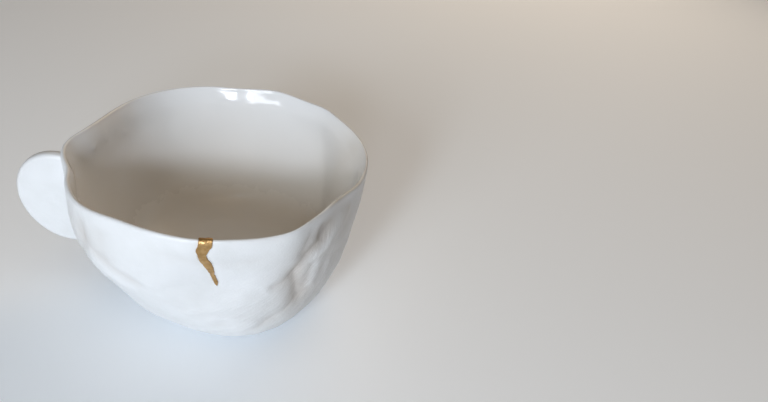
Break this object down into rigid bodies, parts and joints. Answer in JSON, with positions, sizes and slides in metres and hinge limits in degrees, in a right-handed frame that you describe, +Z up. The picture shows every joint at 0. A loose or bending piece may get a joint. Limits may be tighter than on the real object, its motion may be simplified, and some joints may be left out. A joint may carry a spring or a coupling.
{
  "type": "kintsugi cup",
  "caption": "Uneven porcelain cup with a wavy rim, flat disc handle and folded underside, its chipped rim mended with a gold seam, for holding a drink or for display.",
  "frame": {"origin": "on the flat spot under the middle of the cup, where it stands", "axes": "+Z up through the mouth, -X towards the disc handle, -Y towards the gold seam"},
  "size_m": [0.1104, 0.0917, 0.0551],
  "materials": {
    "porcelain": "white porcelain, glossy inside and satin outside, finely wrinkled",
    "gold": "satin gold lacquer with a brushed grain"
  },
  "bodies": {
    "root": {"cup_body": "porcelain", "gold_seam": "gold"}
  },
  "joints": []
}
